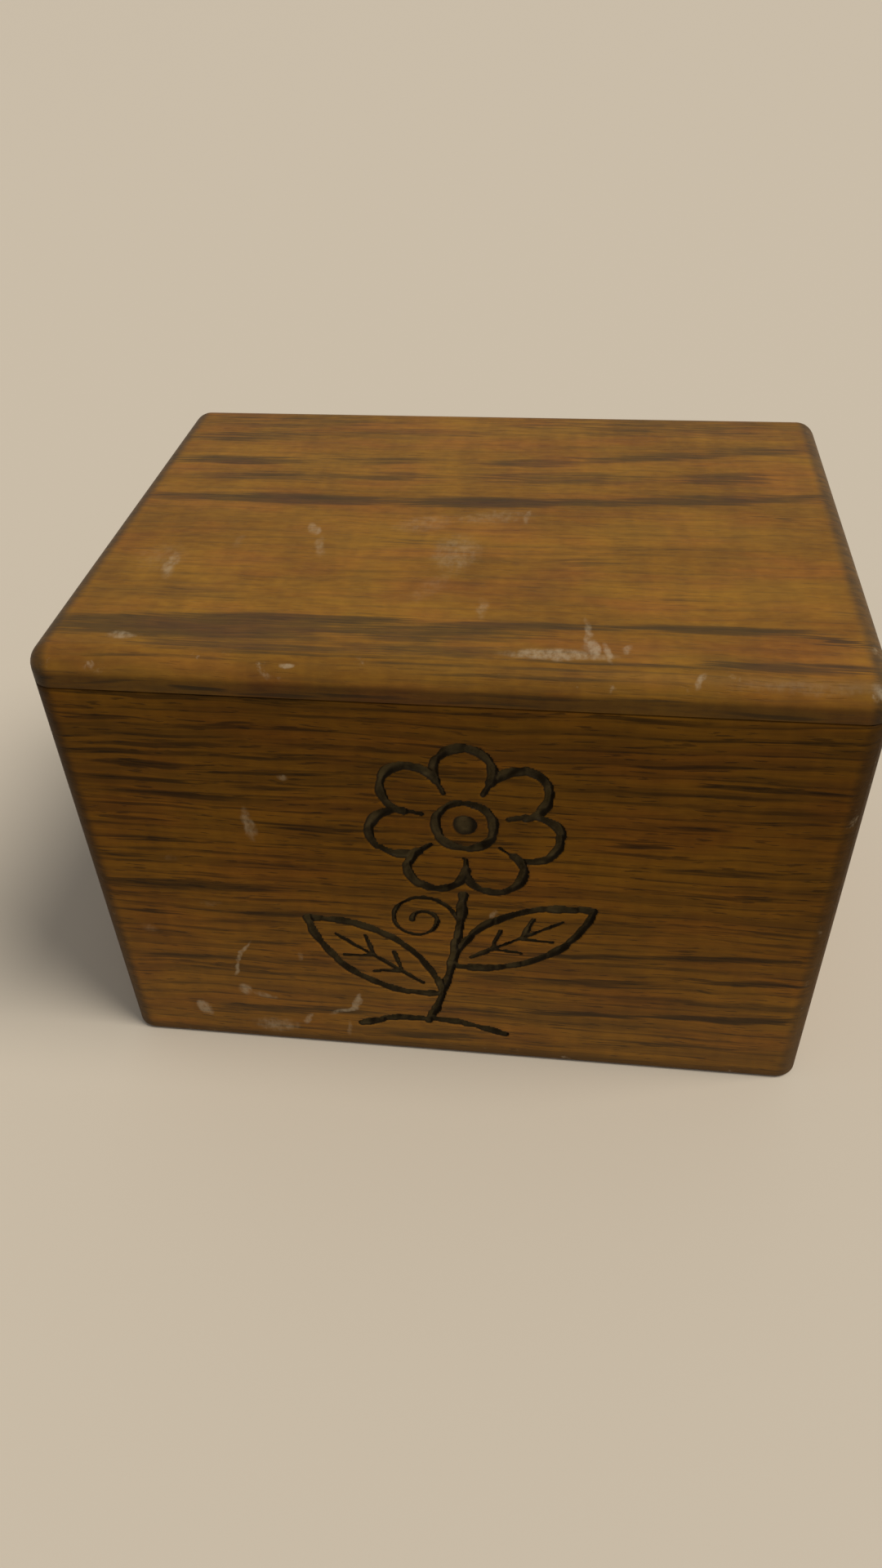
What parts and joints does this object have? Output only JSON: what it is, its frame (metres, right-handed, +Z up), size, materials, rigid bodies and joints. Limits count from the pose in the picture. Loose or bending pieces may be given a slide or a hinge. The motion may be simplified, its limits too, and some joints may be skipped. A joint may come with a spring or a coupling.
{
  "type": "keepsake box",
  "caption": "Small rectangular wooden keepsake box with a hinged board lid, rounded edges and a flower sprig carved into its front.",
  "frame": {"origin": "middle of the box's underside, on the surface that it stands on", "axes": "+Z up, +X along the carved front to its right, -Y out of the carved front; the hinges are at the +Y side"},
  "size_m": [0.15, 0.112, 0.104],
  "materials": {
    "striped_wood": "semi-gloss oiled hardwood with dark stripes",
    "lid_wood": "semi-gloss oiled hardwood, golden brown with a few dark streaks",
    "base_wood": "plain sanded hardwood",
    "felt": "matt wool felt",
    "hinge_brass": "dulled brass",
    "screw_brass": "dulled brass"
  },
  "bodies": {
    "box": {"front_wall": "striped_wood", "back_wall": "striped_wood", "left_wall": "striped_wood", "right_wall": "striped_wood", "base_panel": "base_wood", "felt_lining": "felt", "left_hinge_box_leaf": "hinge_brass", "left_hinge_pin": "hinge_brass", "right_hinge_box_leaf": "hinge_brass", "right_hinge_pin": "hinge_brass", "box_hinge_screws": "screw_brass"},
    "lid": {"lid_board": "lid_wood", "left_hinge_lid_leaf": "hinge_brass", "right_hinge_lid_leaf": "hinge_brass", "lid_hinge_screws": "screw_brass"}
  },
  "joints": [
    {"name": "lid_hinge", "type": "hinge", "parent": "box", "child": "lid", "pos_m": [0, 0.0534, 0.0969], "axis": [-1, 0, 0], "range_deg": [0, 100]}
  ]
}
